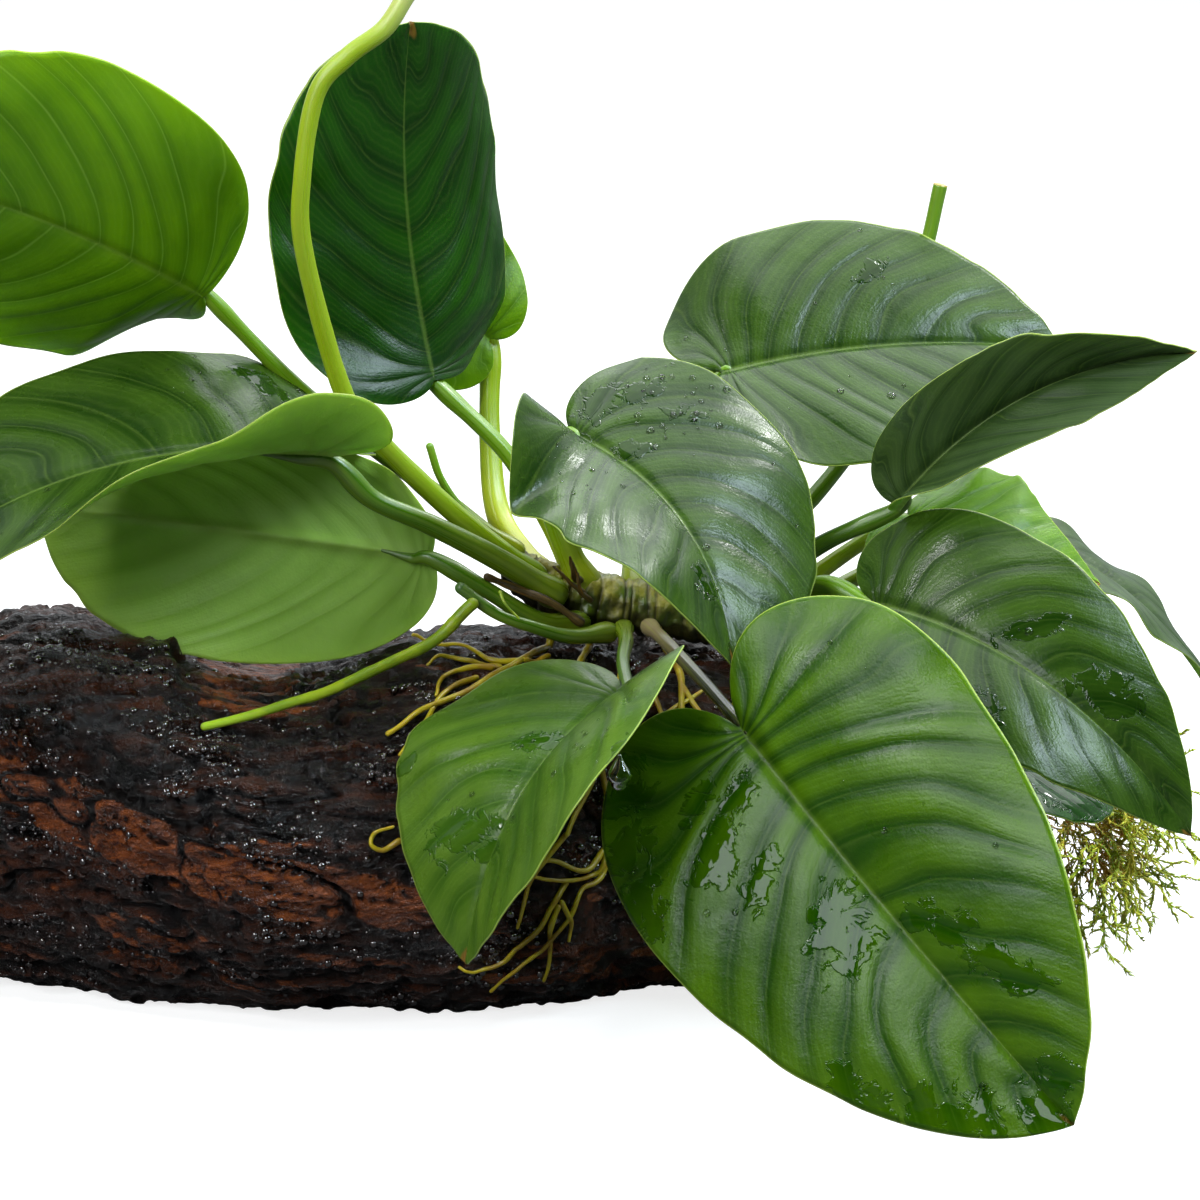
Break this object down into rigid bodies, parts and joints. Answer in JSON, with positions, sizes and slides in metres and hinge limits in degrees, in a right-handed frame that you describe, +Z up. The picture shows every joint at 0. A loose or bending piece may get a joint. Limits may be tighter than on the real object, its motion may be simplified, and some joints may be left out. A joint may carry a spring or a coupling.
{
  "type": "anubias plant on driftwood",
  "caption": "Broad-leaved aquarium plant with a creeping rhizome, long leaf stalks and a flower bud, rooted on a wet driftwood log with a tuft of moss.",
  "frame": {"origin": "on the log's flat underside, below the middle of the plant's rhizome", "axes": "+Z up, +X along the log towards its mossy end, -Y towards the side with the large front leaf"},
  "size_m": [0.3894, 0.2058, 0.3001],
  "materials": {
    "driftwood": "wet, fissured and nearly black, with red-brown patches",
    "leaf": "waxy dark green with wet patches",
    "stalk": "smooth yellow green",
    "flower": "smooth pale green to cream",
    "rhizome": "ringed, olive and brown",
    "root": "matt yellow olive",
    "withered": "dry brown",
    "moss": "fine branching threads"
  },
  "bodies": {
    "root": {"driftwood_log": "driftwood", "rhizome": "rhizome", "leaf_front_large": "leaf", "leaf_front_small": "leaf", "leaf_centre": "leaf", "leaf_lower_right": "leaf", "leaf_right": "leaf", "leaf_upper_right": "leaf", "leaf_back_right": "leaf", "leaf_far_right": "leaf", "leaf_under_right": "leaf", "leaf_tall": "leaf", "leaf_back_upright": "leaf", "leaf_upper_left": "leaf", "leaf_left": "leaf", "leaf_lower_left": "leaf", "stalk_front_large": "stalk", "stalk_front_small": "stalk", "stalk_centre": "stalk", "stalk_lower_right": "stalk", "stalk_right": "stalk", "stalk_upper_right": "stalk", "stalk_back_right": "stalk", "stalk_far_right": "stalk", "stalk_under_right": "stalk", "stalk_tall": "stalk", "stalk_back_upright": "stalk", "stalk_upper_left": "stalk", "stalk_left": "stalk", "stalk_lower_left": "stalk", "flower_stalk": "flower", "flower_spathe": "flower", "cut_stalk": "stalk", "young_shoot": "stalk", "side_shoot": "stalk", "old_sheath": "withered", "aerial_root": "root", "holding_root_1": "root", "holding_root_2": "root", "holding_root_3": "root", "holding_root_4": "root", "holding_root_5": "root", "holding_root_6": "root", "moss_tuft": "moss"}
  },
  "joints": []
}
